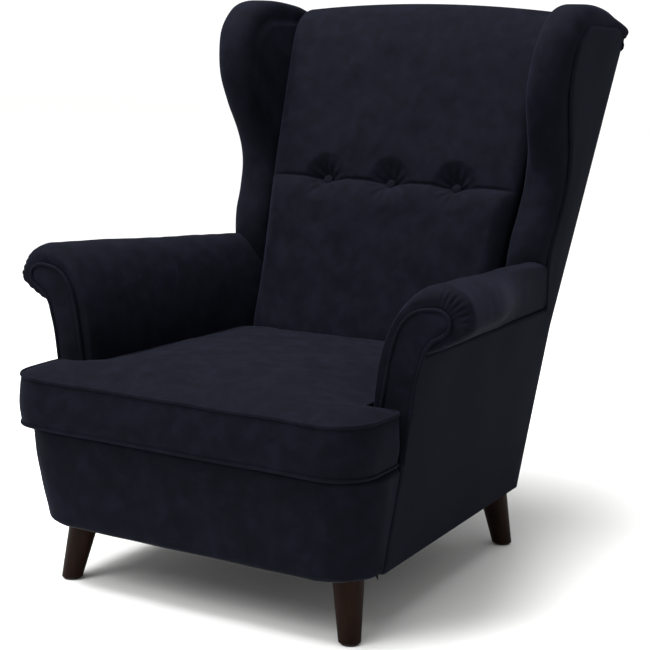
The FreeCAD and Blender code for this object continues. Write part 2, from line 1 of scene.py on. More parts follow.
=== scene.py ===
import json
import math
import bpy
import bmesh
import numpy as np
from mathutils import Matrix, Vector


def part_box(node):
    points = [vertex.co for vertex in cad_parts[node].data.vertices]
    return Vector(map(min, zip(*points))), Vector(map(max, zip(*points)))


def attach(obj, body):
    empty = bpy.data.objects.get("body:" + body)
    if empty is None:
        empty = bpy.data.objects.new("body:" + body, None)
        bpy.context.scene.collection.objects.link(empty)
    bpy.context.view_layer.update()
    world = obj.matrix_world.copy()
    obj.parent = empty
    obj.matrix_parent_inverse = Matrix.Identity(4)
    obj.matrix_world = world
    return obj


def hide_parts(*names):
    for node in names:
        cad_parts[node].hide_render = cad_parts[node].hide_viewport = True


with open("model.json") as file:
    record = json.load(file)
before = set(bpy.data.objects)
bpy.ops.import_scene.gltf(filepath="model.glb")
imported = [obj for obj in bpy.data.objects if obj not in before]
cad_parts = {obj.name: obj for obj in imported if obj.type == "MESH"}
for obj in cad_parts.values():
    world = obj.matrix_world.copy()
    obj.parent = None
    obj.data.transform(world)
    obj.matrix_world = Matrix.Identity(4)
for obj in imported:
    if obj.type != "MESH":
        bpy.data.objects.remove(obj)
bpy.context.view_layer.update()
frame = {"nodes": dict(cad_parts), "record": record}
print("frame loaded:", len(frame["nodes"]), "nodes")


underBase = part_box("apron_cover")[0][2]
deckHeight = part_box("apron_cover")[1][2]
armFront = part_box("arm_facing_left")[1][1]       # back of the scroll facings
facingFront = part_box("arm_facing_left")[0][1]
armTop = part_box("arm_cover_left")[1][2]
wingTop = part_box("wing_cover_left")[1][2]
rearTopY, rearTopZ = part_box("outside_back")[1][1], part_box("outside_back")[1][2]
cushionLow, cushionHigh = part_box("cushion_piping")

sideLine = {"halfWidth": 0.321, "flare": 0.100, "taper": 0.040, "wingThickness": 0.084}
rearLine = {"bottomY": 0.228, "kneeY": 0.288, "kneeZ": 0.417}
armLine = {"rearY": 0.330, "rollXFront": 0.386, "rollXRear": 0.302, "rollFront": 0.059, "rollRear": 0.045,
           "topRear": 0.540, "seatHalfFront": 0.275, "seatHalfRear": 0.244, "bendZ": 0.378}


sides = (("Left", 1), ("Right", -1))         # names and signs of x


def smoothStep(value, low, high):
    share = np.clip((value - low) / (high - low), 0.0, 1.0)
    return share * share * (3 - 2 * share)


def sideX(y, z, inset=0.0):
    # outer side surface: a plane that leans out with height and tapers towards the back
    lean = sideLine["flare"] * (z - underBase)
    return sideLine["halfWidth"] + lean - sideLine["taper"] * (y - armFront) - inset


def rearY(z, inset=0.0):
    # rear line: two straight runs
    heights = [underBase, rearLine["kneeZ"], rearTopZ]
    y = np.interp(z, heights, [rearLine["bottomY"], rearLine["kneeY"], rearTopY])
    beyond = np.maximum(z - rearTopZ, 0) * (rearTopY - rearLine["kneeY"]) / (rearTopZ - rearLine["kneeZ"])
    return y + beyond - inset


def seatHalf(y):
    share = (y - armFront) / (armLine["rearY"] - armFront)
    return armLine["seatHalfFront"] + share * (armLine["seatHalfRear"] - armLine["seatHalfFront"])


def armRoll(y):
    # centre and radius of the arm's roll at a depth
    share = (y - armFront) / (armLine["rearY"] - armFront)
    centreX = armLine["rollXFront"] + share * (armLine["rollXRear"] - armLine["rollXFront"])
    radius = armLine["rollFront"] + share * (armLine["rollRear"] - armLine["rollFront"])
    centreZ = armTop + share * (armLine["topRear"] - armTop) - radius
    return centreX, centreZ, radius


def smoothCurve(points, count):
    # Catmull-Rom curve through the points, resampled evenly by length
    points = np.array(points, float)
    padded = np.vstack([2 * points[0] - points[1], points, 2 * points[-1] - points[-2]])
    t = np.linspace(0, len(points) - 1, 40 * len(points))
    index = np.minimum(t.astype(int), len(points) - 2)
    f = (t - index)[:, None]
    p0, p1, p2, p3 = (padded[index + k] for k in range(4))
    curve = 0.5 * (2 * p1 + (p2 - p0) * f + (2 * p0 - 5 * p1 + 4 * p2 - p3) * f ** 2
                   + (3 * p1 - p0 - 3 * p2 + p3) * f ** 3)
    return resample(curve, count)


def resample(curve, count, closed=False):
    if closed:
        curve = np.vstack([curve, curve[:1]])
    steps = np.linalg.norm(np.diff(curve, axis=0), axis=1)
    length = np.concatenate([[0], np.cumsum(steps)])
    wanted = np.linspace(0, length[-1], count + 1 if closed else count)
    if closed:
        wanted = wanted[:-1]
    return np.stack([np.interp(wanted, length, curve[:, k]) for k in range(curve.shape[1])], axis=1)


def roundedLoop(corners, count):
    # closed outline of x, y and corner radius: straight runs joined by tangent arcs
    corners = np.array(corners, float)
    pieces = []
    for index in range(len(corners)):
        here, radius = corners[index, :2], corners[index, 2]
        back = corners[index - 1, :2] - here
        ahead = corners[(index + 1) % len(corners), :2] - here
        back, ahead = back / np.linalg.norm(back), ahead / np.linalg.norm(ahead)
        half = math.acos(np.clip(back @ ahead, -1, 1)) / 2
        bisector = (back + ahead) / np.linalg.norm(back + ahead)
        centre = here + bisector * radius / math.sin(half)
        start, end = here + back * radius / math.tan(half), here + ahead * radius / math.tan(half)
        a0 = math.atan2(*(start - centre)[::-1])
        turn = (math.atan2(*(end - centre)[::-1]) - a0 + math.pi) % (2 * math.pi) - math.pi
        angle = a0 + turn * np.linspace(0, 1, 24)
        pieces.append(centre + radius * np.stack([np.cos(angle), np.sin(angle)], axis=1))
    return resample(np.vstack(pieces), count, closed=True)


def softNoise(points, wavelength, seed, waves=14):
    # smooth noise: sine waves of about one wavelength in random directions
    random = np.random.default_rng(seed)
    direction = random.normal(size=(waves, 3))
    direction /= np.linalg.norm(direction, axis=1, keepdims=True)
    wave = direction * (2 * np.pi / wavelength * random.uniform(0.6, 1.5, waves))[:, None]
    phase = random.uniform(0, 2 * np.pi, waves)
    return np.sin(points @ wave.T + phase).sum(axis=-1) / math.sqrt(waves)


def distanceTo(points, line):
    # distance from each point to the nearest sample of a line
    flat = points.reshape(-1, points.shape[-1])
    best = np.full(len(flat), np.inf)
    for start in range(0, len(line), 64):
        gap = flat[:, None, :] - line[None, start:start + 64, :]
        best = np.minimum(best, np.sqrt((gap ** 2).sum(axis=2)).min(axis=1))
    return best.reshape(points.shape[:-1])


def gridFaces(rows, columns, closeRows=False, closeColumns=False):
    # quads of a grid whose vertices run along its columns first
    i = np.arange(rows if closeRows else rows - 1)
    j = np.arange(columns if closeColumns else columns - 1)
    i, j = np.meshgrid(i, j, indexing="ij")
    nextI, nextJ = (i + 1) % rows, (j + 1) % columns
    here, ahead = i * columns, nextI * columns
    return np.stack([here + j, ahead + j, ahead + nextJ, here + nextJ], axis=-1).reshape(-1, 4).tolist()


def gridNormals(grid):
    normal = np.cross(np.gradient(grid, axis=0), np.gradient(grid, axis=1))
    return normal / np.maximum(np.linalg.norm(normal, axis=-1, keepdims=True), 1e-12)


def meshObject(name, vertices, faces):
    mesh = bpy.data.meshes.new(name)
    mesh.from_pydata(np.asarray(vertices).tolist(), [], faces)
    mesh.update()
    piece = bpy.data.objects.new(name, mesh)
    bpy.context.scene.collection.objects.link(piece)
    return piece


def tidyMesh(piece, outwards=True):
    # merges doubles, points closed meshes outwards and shades them smooth
    bm = bmesh.new()
    bm.from_mesh(piece.data)
    bmesh.ops.remove_doubles(bm, verts=bm.verts, dist=1e-5)
    bmesh.ops.dissolve_degenerate(bm, edges=bm.edges, dist=1e-6)
    if outwards:
        bmesh.ops.recalc_face_normals(bm, faces=bm.faces)
    bm.to_mesh(piece.data)
    bm.free()
    piece.data.polygons.foreach_set("use_smooth", [True] * len(piece.data.polygons))
    piece.data.update()


def closedTube(name, grid):
    # rows of closed loops, with a fan of triangles at each end
    rows, columns = grid.shape[:2]
    faces = gridFaces(rows, columns, closeColumns=True)
    vertices = np.vstack([grid.reshape(-1, 3), grid[0].mean(axis=0), grid[-1].mean(axis=0)])
    first, last = rows * columns, rows * columns + 1
    j = np.arange(columns)
    following = (j + 1) % columns
    faces += np.stack([np.full(columns, first), j, following], axis=1).tolist()
    base = (rows - 1) * columns
    faces += np.stack([np.full(columns, last), base + following, base + j], axis=1).tolist()
    piece = meshObject(name, vertices, faces)
    tidyMesh(piece)
    return piece


def pipedEdge(name, path, radius, reference, closed=False, around=12):
    # a round cord carried along a path; the section's frame comes from the tangent and a reference axis
    if closed:
        tangent = np.roll(path, -1, axis=0) - np.roll(path, 1, axis=0)
    else:
        tangent = np.gradient(path, axis=0)
    tangent /= np.linalg.norm(tangent, axis=1, keepdims=True)
    side = np.cross(tangent, reference)
    side /= np.linalg.norm(side, axis=1, keepdims=True)
    up = np.cross(side, tangent)
    angle = np.linspace(0, 2 * np.pi, around, endpoint=False)
    ring = np.cos(angle)[None, :, None] * side[:, None, :] + np.sin(angle)[None, :, None] * up[:, None, :]
    grid = path[:, None, :] + radius * ring
    if closed:
        piece = meshObject(name, grid.reshape(-1, 3), gridFaces(len(path), around, True, True))
        tidyMesh(piece)
        return piece
    return closedTube(name, grid)


def thicken(piece, thickness):
    solid = piece.modifiers.new("thickness", "SOLIDIFY")
    solid.thickness = thickness
    solid.offset = -1


def sheetPiece(name, grid, thickness, outward):
    # an open grid, turned to face the outward direction and given its thickness inwards
    if (gridNormals(grid).reshape(-1, 3).mean(axis=0) @ np.array(outward)) < 0:
        grid = grid[::-1]
    piece = meshObject(name, grid.reshape(-1, 3), gridFaces(*grid.shape[:2]))
    tidyMesh(piece, outwards=False)
    thicken(piece, thickness)
    return piece


def linear(hexColour):
    # sRGB hex to linear RGBA
    values = [int(hexColour[k:k + 2], 16) / 255 for k in (1, 3, 5)]
    return [v / 12.92 if v <= 0.04045 else ((v + 0.055) / 1.055) ** 2.4 for v in values] + [1.0]


def newMaterial(name):
    material = bpy.data.materials.new(name)
    material.use_nodes = True
    tree = material.node_tree
    return material, tree, tree.nodes["Principled BSDF"]


def addNode(tree, kind, settings=None, inputs=None):
    # one node: settings are its own properties, inputs are values or other nodes' sockets
    node = tree.nodes.new(kind)
    for key, value in (settings or {}).items():
        setattr(node, key, value)
    for key, value in (inputs or {}).items():
        if isinstance(value, bpy.types.NodeSocket):
            tree.links.new(value, node.inputs[key])
        else:
            node.inputs[key].default_value = value
    return node


def colourRamp(tree, value, low, lowColour, high, highColour):
    ramp = addNode(tree, "ShaderNodeValToRGB", inputs={"Fac": value})
    for element, place, colour in zip(ramp.color_ramp.elements, (low, high), (lowColour, highColour)):
        element.position = place
        element.color = linear(colour)
    return ramp


def varyRoughness(tree, shader, value, low, high):
    rough = addNode(tree, "ShaderNodeMapRange", inputs={
        "Value": value, "From Min": 0.3, "From Max": 0.7, "To Min": low, "To Max": high})
    tree.links.new(rough.outputs["Result"], shader.inputs["Roughness"])


def raiseSurface(tree, shader, height, strength, depth):
    bump = addNode(tree, "ShaderNodeBump", inputs={"Height": height, "Strength": strength, "Distance": depth})
    tree.links.new(bump.outputs["Normal"], shader.inputs["Normal"])


velvet = {
    "base": "#0c0d13",          # midnight navy pile
    "shade": "#090a0f",         # pile brushed away from the eye
    "lit": "#0f1018",           # pile brushed towards the light
    "patch": 0.030,             # metres across a brushed patch
    "grain": 0.0012,            # a tuft is 0.4 mm, drawn three times as coarse so that it shows
    "sheen": 0.105,
}


def velvetMaterial():
    # short-pile velvet, woven and brushed: dark, matt, paler at grazing angles, in soft patches
    material, tree, shader = newMaterial("midnightVelvet")
    place = addNode(tree, "ShaderNodeTexCoord").outputs["Object"]
    patches = addNode(tree, "ShaderNodeTexNoise", inputs={
        "Vector": place, "Scale": 1 / velvet["patch"], "Detail": 5.0, "Roughness": 0.62, "Distortion": 0.3})
    grain = addNode(tree, "ShaderNodeTexNoise", inputs={
        "Vector": place, "Scale": 1 / velvet["grain"], "Detail": 2.0, "Roughness": 0.7})
    nap = colourRamp(tree, patches.outputs["Fac"], 0.30, velvet["shade"], 0.70, velvet["lit"])
    nap.color_ramp.elements.new(0.5).color = linear(velvet["base"])
    tuft = addNode(tree, "ShaderNodeMapRange", inputs={
        "Value": grain.outputs["Fac"], "From Min": 0.3, "From Max": 0.7, "To Min": 0.70, "To Max": 1.30})
    colour = addNode(tree, "ShaderNodeVectorMath", {"operation": "SCALE"}, {
        0: nap.outputs["Color"], "Scale": tuft.outputs["Result"]})
    tree.links.new(colour.outputs["Vector"], shader.inputs["Base Color"])
    varyRoughness(tree, shader, patches.outputs["Fac"], 0.80, 0.92)
    raiseSurface(tree, shader, grain.outputs["Fac"], 0.4, 0.0005)
    shader.inputs["Sheen Weight"].default_value = velvet["sheen"]
    shader.inputs["Sheen Roughness"].default_value = 0.40
    shader.inputs["Sheen Tint"].default_value = linear("#5a5e7c")
    shader.inputs["Specular IOR Level"].default_value = 0.02
    return material


# metres across a grain line and a broader band, and how far both are drawn out along the grain
wood = {"grain": 1 / 320, "band": 1 / 60, "drawnOut": 0.06}


def woodMaterial(name, dark, light, roughness, coat):
    # turned or planed beech: fine straight grain with small rays, stained or bare
    material, tree, shader = newMaterial(name)
    place = addNode(tree, "ShaderNodeTexCoord").outputs["Object"]
    lines = addNode(tree, "ShaderNodeMapping", inputs={
        "Vector": place, "Scale": (1.0, 1.0, wood["drawnOut"])})
    grain = addNode(tree, "ShaderNodeTexNoise", inputs={
        "Vector": lines.outputs["Vector"], "Scale": 1 / wood["grain"], "Detail": 6.0, "Roughness": 0.62,
        "Distortion": 0.4})
    bands = addNode(tree, "ShaderNodeTexNoise", inputs={
        "Vector": lines.outputs["Vector"], "Scale": 1 / wood["band"], "Detail": 3.0, "Roughness": 0.5})
    mixed = addNode(tree, "ShaderNodeMath", {"operation": "MULTIPLY_ADD"}, {
        0: bands.outputs["Fac"], 1: 0.5, 2: 0.0})
    both = addNode(tree, "ShaderNodeMath", {"operation": "MULTIPLY_ADD"}, {
        0: grain.outputs["Fac"], 1: 0.5, 2: mixed.outputs["Value"]})
    tone = colourRamp(tree, both.outputs["Value"], 0.36, dark, 0.64, light)
    tree.links.new(tone.outputs["Color"], shader.inputs["Base Color"])
    varyRoughness(tree, shader, grain.outputs["Fac"], roughness - 0.05, roughness + 0.08)
    raiseSurface(tree, shader, grain.outputs["Fac"], 0.25, 0.0003)
    shader.inputs["Coat Weight"].default_value = coat
    shader.inputs["Coat Roughness"].default_value = 0.30
    shader.inputs["Specular IOR Level"].default_value = 0.05
    return material


def speckledMaterial(name, dark, light, scale, roughness, metallic=0.0, bumpDepth=0.0003):
    # a fine even speckle, for foam cells, non-woven cloth, drawn wire and moulded plastic
    material, tree, shader = newMaterial(name)
    place = addNode(tree, "ShaderNodeTexCoord").outputs["Object"]
    speckle = addNode(tree, "ShaderNodeTexNoise", inputs={
        "Vector": place, "Scale": scale, "Detail": 3.0, "Roughness": 0.6})
    tone = colourRamp(tree, speckle.outputs["Fac"], 0.3, dark, 0.7, light)
    tree.links.new(tone.outputs["Color"], shader.inputs["Base Color"])
    varyRoughness(tree, shader, speckle.outputs["Fac"], roughness - 0.06, roughness + 0.06)
    raiseSurface(tree, shader, speckle.outputs["Fac"], 0.4, bumpDepth)
    shader.inputs["Metallic"].default_value = metallic
    return material


finishes = {
    "cover_cloth": velvetMaterial(),
    "leg_wood": woodMaterial("walnutStainedBeech", "#100804", "#1e100a", 0.50, 0.0),
    "frame_wood": woodMaterial("planedBeech", "#a77f55", "#cba67a", 0.62, 0.0),
    "padding": speckledMaterial("polyurethaneFoam", "#cfc39c", "#e8dfc0", 700.0, 0.9),
    "lining_cloth": speckledMaterial("blackNonWoven", "#0c0c0d", "#1c1c1e", 900.0, 0.85),
    "spring_steel": speckledMaterial("drawnSpringSteel", "#6f7073", "#96979b", 400.0, 0.35, 1.0, 0.0001),
    "zip_metal": speckledMaterial("blackNickelledZinc", "#26262a", "#3a3a40", 500.0, 0.28, 1.0, 0.0001),
    "zip_tape": speckledMaterial("nylonZipTape", "#0d0d12", "#1a1a22", 1200.0, 0.7),
    "glide_plastic": speckledMaterial("mouldedPolythene", "#1b1b1c", "#262627", 300.0, 0.5),
}
slotOfNode = {part["node"]: part["material_slot"] for part in frame["record"]["subparts"]}
for nodeName, nodeObject in frame["nodes"].items():
    nodeObject.data.materials.clear()
    nodeObject.data.materials.append(finishes[slotOfNode[nodeName]])
print("materials made:", len(finishes))


def finishPiece(piece, replaced, body="chair", slot="cover_cloth"):
    # material, body, slot and the CAD nodes that the piece stands in for
    piece.data.materials.clear()
    piece.data.materials.append(finishes[slot])
    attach(piece, body)
    if replaced:
        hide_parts(*replaced)
    return piece


view = {"position": (1.4406, -2.4723, 0.9623), "azimuth": 30.1, "down": 10.62, "roll": 1.17, "lens": 88.65}


def makeCamera():
    azimuth, down, roll = (math.radians(view[key]) for key in ("azimuth", "down", "roll"))
    level = Vector((math.cos(azimuth), math.sin(azimuth), 0))
    ahead = Vector((-level.y * math.cos(down), level.x * math.cos(down), -math.sin(down)))
    upright = level.cross(ahead)
    right = level * math.cos(roll) + upright * math.sin(roll)
    up = upright * math.cos(roll) - level * math.sin(roll)
    data = bpy.data.cameras.new("camera")
    data.lens = view["lens"]
    data.sensor_width = 36.0
    data.clip_end = 100
    camera = bpy.data.objects.new("camera", data)
    turned = Matrix((right, up, -ahead)).transposed().to_4x4()
    camera.matrix_world = Matrix.Translation(view["position"]) @ turned
    bpy.context.scene.collection.objects.link(camera)
    bpy.context.scene.camera = camera


light = {"backdrop": 1.1, "ambient": 0.40, "key": 46.0, "top": 165.0, "sun": 2.3, "sunSpread": 60.0,
         "floorHalf": 14.0}


def areaLight(name, position, target, size, power):
    data = bpy.data.lights.new(name, "AREA")
    data.shape = "DISK"
    data.size = size
    data.energy = power
    lamp = bpy.data.objects.new(name, data)
    lamp.location = position
    lamp.rotation_euler = (Vector(target) - Vector(position)).to_track_quat("-Z", "Y").to_euler()
    bpy.context.scene.collection.objects.link(lamp)


def makeStage():
    world = bpy.data.worlds.new("studio")
    world.use_nodes = True
    # the backdrop is white to look at but gives the chair only a weak ambient light
    tree, background = world.node_tree, world.node_tree.nodes["Background"]
    background.inputs["Color"].default_value = (1, 1, 1, 1)
    seen = addNode(tree, "ShaderNodeLightPath").outputs["Is Camera Ray"]
    strength = addNode(tree, "ShaderNodeMapRange", inputs={
        "Value": seen, "To Min": light["ambient"], "To Max": light["backdrop"]})
    tree.links.new(strength.outputs["Result"], background.inputs["Strength"])
    bpy.context.scene.world = world
    areaLight("topLight", (-0.5, -0.5, 3.0), (0, 0, 0.4), 2.4, light["top"])
    areaLight("keyLight", (-1.2, -2.9, 2.6), (0, 0, 0.5), 1.6, light["key"])
    # a wide soft sun evens out the floor far from the lamps
    data = bpy.data.lights.new("evenLight", "SUN")
    data.energy = light["sun"]
    data.angle = math.radians(light["sunSpread"])
    sun = bpy.data.objects.new("evenLight", data)
    sun.rotation_euler = Vector((0.15, 0.25, -1.0)).to_track_quat("-Z", "Y").to_euler()
    bpy.context.scene.collection.objects.link(sun)
    half = light["floorHalf"]
    corners = [(-half, -half, 0), (half, -half, 0), (half, half, 0), (-half, half, 0)]
    floor = meshObject("floor", corners, [(0, 1, 2, 3)])
    material, tree, shader = newMaterial("paleFloor")
    shader.inputs["Base Color"].default_value = linear("#f8f8f7")
    shader.inputs["Roughness"].default_value = 0.9
    floor.data.materials.append(material)


bpy.context.scene.view_settings.view_transform = "Standard"
makeCamera()
makeStage()
print("camera and studio made")


cushion = {"front": -0.473, "rear": 0.1285, "earBack": -0.3285, "earHalf": 0.338, "cornerRadius": 0.068,
           "gap": 0.0055, "crown": 0.034, "crownRun": 0.21, "boxingBulge": 0.004, "piping": 0.0032,
           "pipingOut": -0.0003, "voxel": 0.0050, "cap": 0.012, "pressure": 4.0}
cushionCloth = {"quality": 4, "mass": 0.35, "tension_stiffness": 20, "compression_stiffness": 12,
                "bending_stiffness": 1.2, "use_pressure": True}


def teeLoop(grow, count):
    # plan of the T-shaped cushion, grown or shrunk
    rear, ear, front = cushion["rear"] + grow, cushion["earBack"] + grow, cushion["front"] - grow
    half = cushion["earHalf"] + grow
    waist = [seatHalf(y) - cushion["gap"] + grow for y in (rear, armFront)]
    right = [(waist[0], rear, 0.024), (waist[1], ear, 0.010), (half, ear, 0.014),
             (half, front, cushion["cornerRadius"] + grow)]
    return roundedLoop(right + [(-x, y, r) for x, y, r in reversed(right)], count)


def cushionMesh(name, shrink, around=480):
    # rays from a point near the front: crowned top, bulging boxing, flat underside
    outline = teeLoop(-shrink, around)
    middle = np.array([0.0, -0.36])
    low, high = cushionLow[2] + shrink, cushionHigh[2] - cushion["piping"]
    share = 1 - (1 - np.linspace(0, 1, 60)) ** 1.6
    flat = middle + share[1:, None, None] * (outline - middle)
    rise = np.clip(distanceTo(flat, outline) / cushion["crownRun"], 0, 1)
    topZ = high + (cushion["crown"] - shrink) * (1 - (1 - rise) ** 2.3)
    top = np.concatenate([flat, topZ[..., None]], axis=-1)
    v = np.linspace(0, 1, 12)[1:-1]
    outward = outline - np.roll(outline, 1, axis=0)
    outward = np.stack([outward[:, 1], -outward[:, 0]], axis=1)
    outward /= np.linalg.norm(outward, axis=1, keepdims=True)
    if (outward * (outline - middle)).sum() < 0:
        outward = -outward
    bulge = cushion["boxingBulge"] * np.sin(np.pi * v)
    walls = outline[None] + bulge[:, None, None] * outward[None]
    wallZ = np.broadcast_to((high + v * (low - high))[:, None, None], walls.shape[:2] + (1,))
    walls = np.concatenate([walls, wallZ], axis=-1)
    under = np.concatenate([flat[::-1], np.full(flat.shape[:2] + (1,), low)], axis=-1)
    return closedTube(name, np.concatenate([top, walls, under]))


def inflate(piece, voxel, cap, pressure, pinned, frames=20):
    # remeshes a padded form evenly, blows it up as cloth, and limits how far each point has moved
    remesh = piece.modifiers.new("even", "REMESH")
    remesh.mode = "VOXEL"
    remesh.voxel_size = voxel
    remesh.use_smooth_shade = True
    applyModifiers(piece)
    start = vertexArray(piece)
    group = piece.vertex_groups.new(name="sewn")
    held = np.nonzero(pinned(start))[0]
    group.add(held.tolist(), 1.0, "REPLACE")
    cloth = piece.modifiers.new("cloth", "CLOTH")
    cloth.settings.vertex_group_mass = "sewn"
    for key, value in cushionCloth.items():
        setattr(cloth.settings, key, value)
    cloth.settings.uniform_pressure_force = pressure
    cloth.settings.effector_weights.gravity = 0
    cloth.collision_settings.use_collision = False
    cloth.point_cache.frame_start = 1
    cloth.point_cache.frame_end = frames
    for step in range(1, frames + 1):
        bpy.context.scene.frame_set(step)
    applyModifiers(piece)
    bpy.context.scene.frame_set(1)
    moved = vertexArray(piece) - start
    length = np.linalg.norm(moved, axis=1, keepdims=True)
    limited = moved * np.minimum(1, cap / np.maximum(length, 1e-9))
    setVertices(piece, start + limited)
    return piece


def vertexArray(piece):
    values = np.empty(len(piece.data.vertices) * 3)
    piece.data.vertices.foreach_get("co", values)
    return values.reshape(-1, 3)


def normalArray(piece):
    piece.data.update()
    values = np.empty(len(piece.data.vertices) * 3)
    piece.data.vertex_normals.foreach_get("vector", values)
    return values.reshape(-1, 3)


def setVertices(piece, points):
    piece.data.vertices.foreach_set("co", np.asarray(points).reshape(-1))
    piece.data.update()


def applyModifiers(piece):
    bpy.context.view_layer.update()
    evaluated = piece.evaluated_get(bpy.context.evaluated_depsgraph_get())
    mesh = bpy.data.meshes.new_from_object(evaluated)
    old = piece.data
    piece.modifiers.clear()
    piece.data = mesh
    bpy.data.meshes.remove(old)


def relax(piece, rounds, factor=0.5):
    smooth = piece.modifiers.new("relax", "SMOOTH")
    smooth.factor = factor
    smooth.iterations = rounds
    applyModifiers(piece)


def subdivide(piece, levels=1):
    modifier = piece.modifiers.new("fine", "SUBSURF")
    modifier.levels = levels
    modifier.render_levels = levels
    applyModifiers(piece)
    piece.data.polygons.foreach_set("use_smooth", [True] * len(piece.data.polygons))


def makeCushion():
    piece = cushionMesh("seatCushion", 0.0)
    loop = teeLoop(0.0, 700)
    seamHeights = (cushionLow[2] + 0.003, cushionHigh[2] - cushion["piping"])

    def nearSeam(points):
        beside = distanceTo(points[:, :2], loop) < 0.009
        level = np.minimum(abs(points[:, 2] - seamHeights[0]), abs(points[:, 2] - seamHeights[1])) < 0.007
        return beside & level | (points[:, 2] < seamHeights[0] + 0.002)

    inflate(piece, cushion["voxel"], cushion["cap"], cushion["pressure"], nearSeam)
    relax(piece, 1)
    subdivide(piece)
    points, normals = vertexArray(piece), normalArray(piece)
    edge = distanceTo(points[:, :2], loop)
    bearing = np.arctan2(points[:, 1] + 0.2, points[:, 0])
    upper = smoothStep(points[:, 2], seamHeights[1] - 0.02, seamHeights[1])
    pucker = np.sin(bearing * 95 + 3 * softNoise(points, 0.12, 5)) * np.exp(-edge / 0.016) * (edge > 0.002)
    lying = softNoise(points, 0.22, 7) * 0.0016 + softNoise(points, 0.07, 8) * 0.0006
    lift = upper * (0.0005 * pucker + lying * smoothStep(edge, 0.0, 0.05))
    boxing = (1 - upper) * smoothStep(points[:, 2], seamHeights[0] + 0.006, seamHeights[0] + 0.02)
    lift += boxing * (softNoise(points, 0.05, 9) * 0.0005 + softNoise(points, 0.16, 10) * 0.0008)
    setVertices(piece, points + normals * lift[:, None])
    finishPiece(piece, ["cushion_cover", "cushion_foam"], "seat_cushion")
    ring = teeLoop(cushion["pipingOut"], 700)
    for label, height in (("Lower", cushionLow[2] + cushion["piping"]), ("Upper", seamHeights[1])):
        path = np.column_stack([ring, np.full(len(ring), height)])
        path[:, 2] += 0.0006 * softNoise(path, 0.15, 11)
        cord = pipedEdge("cushionPiping" + label, path, cushion["piping"], (0, 0, 1), closed=True, around=14)
        finishPiece(cord, ["cushion_piping"], "seat_cushion")


makeCushion()
print("seat cushion made")


# angles are in degrees round the roll, from 0 outwards to 90 on top
arm = {"noseDepth": 0.032, "noseInset": 0.025, "neckStart": -5.0, "neckTurn": 75.0, "neckDrop": 0.117,
       "neckBow": 0.68, "folds": 14, "foldsFrom": -70.0, "foldsSpan": 170.0, "gather": 0.0024,
       "gatherRun": 0.007, "rollEnd": (-0.16, 0.19), "rearEnd": 0.285, "flushBlend": 0.006}


def armProfile(y, inset, rollInset):
    # closed section at each depth: upright inner face, elliptical shoulder, round roll, neck, outer side
    y, inset, rollInset = y[:, None], inset[:, None], rollInset[:, None]
    centreX, centreZ, radius = armRoll(y)
    radius = radius - inset
    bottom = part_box("arm_cover_left")[0][2] + 0.001
    inner, bend = seatHalf(y) + inset, armLine["bendZ"]
    a = np.linspace(0, 1, 13)[None, :-1]
    innerX, innerZ = inner + 0 * a, bottom + (bend - bottom) * (a + 0 * y)
    b = np.pi / 2 * np.linspace(0, 1, 44)[None, :-1]
    crest = centreZ + radius
    endAngle = math.radians(arm["neckStart"])
    c = np.linspace(0, 1, 56)[None, :]
    angle = np.pi / 2 + c * (endAngle - np.pi / 2) + 0 * y
    fuller = 0.45 + 0.55 * smoothStep(np.degrees(angle), arm["neckStart"], 30)
    drawn = radius - (rollInset - inset) * fuller
    shoulder = crest - (rollInset - inset) * smoothStep(b, 0.7, np.pi / 2)
    slopeX, slopeZ = centreX - (centreX - inner) * np.cos(b), bend + (shoulder - bend) * np.sin(b)
    rollX, rollZ = centreX + drawn * np.cos(angle), centreZ + drawn * np.sin(angle)
    neckZ = crest - arm["neckDrop"] * radius / armLine["rollFront"]
    neckX = sideX(y, neckZ, 0.003)
    d = np.linspace(0, 1, 25)[None, 1:]
    bendX = rollX[:, -1:] + (neckX - rollX[:, -1:]) * d
    bendZ = rollZ[:, -1:] + (neckZ - rollZ[:, -1:]) * d ** arm["neckBow"]
    e = np.linspace(0, 1, 12)[None, 1:]
    downZ = neckZ + (bottom - neckZ) * e
    downX = sideX(y, downZ, 0.003 + 0.003 * e) - inset * e
    x = np.concatenate([innerX, slopeX, rollX, bendX, downX], axis=1)
    z = np.concatenate([innerZ, slopeZ, rollZ, bendZ, downZ], axis=1)
    fade = smoothStep(y, *arm["rollEnd"])
    # towards the rear the roll sinks flush with the side, by a soft minimum of the two
    soft = arm["flushBlend"]
    flush = -soft * np.logaddexp(-x / soft, -sideX(y, z, 0.002) / soft)
    x = np.where(z > bend, x + (flush - x) * fade, x)
    lowest = arm["neckStart"] - arm["neckTurn"]
    onRoll = [np.full_like(innerX, 180), 180 - np.degrees(b) + 0 * y, np.degrees(angle),
              arm["neckStart"] - arm["neckTurn"] * d + 0 * y, np.full_like(downX, lowest)]
    return x, z, np.concatenate(onRoll, axis=1)


